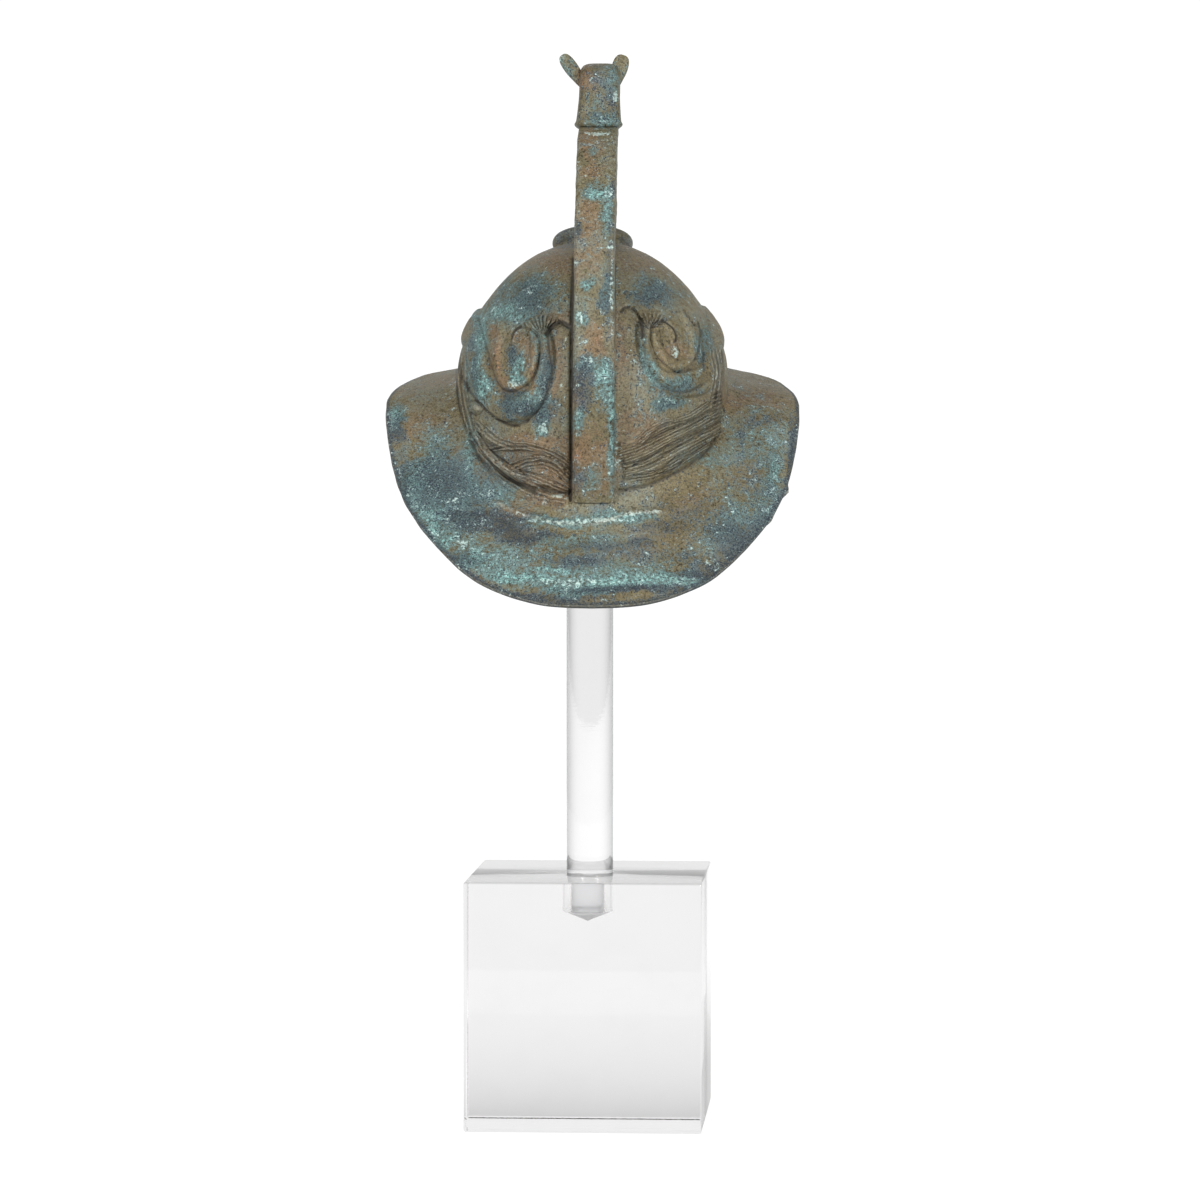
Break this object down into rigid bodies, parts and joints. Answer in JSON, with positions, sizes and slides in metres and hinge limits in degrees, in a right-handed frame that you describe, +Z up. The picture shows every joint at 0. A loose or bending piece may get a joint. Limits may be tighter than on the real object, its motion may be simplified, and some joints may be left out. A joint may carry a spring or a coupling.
{
  "type": "thracian gladiator helmet on a clear stand",
  "caption": "Miniature bronze Thracian gladiator's helmet with a griffin crest, flared brim and pierced visor, held on a clear rod and block.",
  "frame": {"origin": "middle of the clear block's underside, on the rod's axis", "axes": "+Z up, the helmet's visor faces -Y and its nape and the picture's camera are towards +Y"},
  "size_m": [0.1684, 0.169, 0.4327],
  "materials": {
    "shell_bronze": "cast bronze with blue-green verdigris over brown",
    "crest_bronze": "cast bronze with brown patina and verdigris",
    "visor_bronze": "cast bronze, darker and duller",
    "clear_plastic": "polished clear acrylic"
  },
  "bodies": {
    "root": {"helmet_shell": "shell_bronze", "crest": "crest_bronze", "griffin_head": "crest_bronze", "front_medallion": "crest_bronze", "visor_left": "visor_bronze", "visor_right": "visor_bronze", "stand_rod": "clear_plastic", "stand_block": "clear_plastic"}
  },
  "joints": []
}
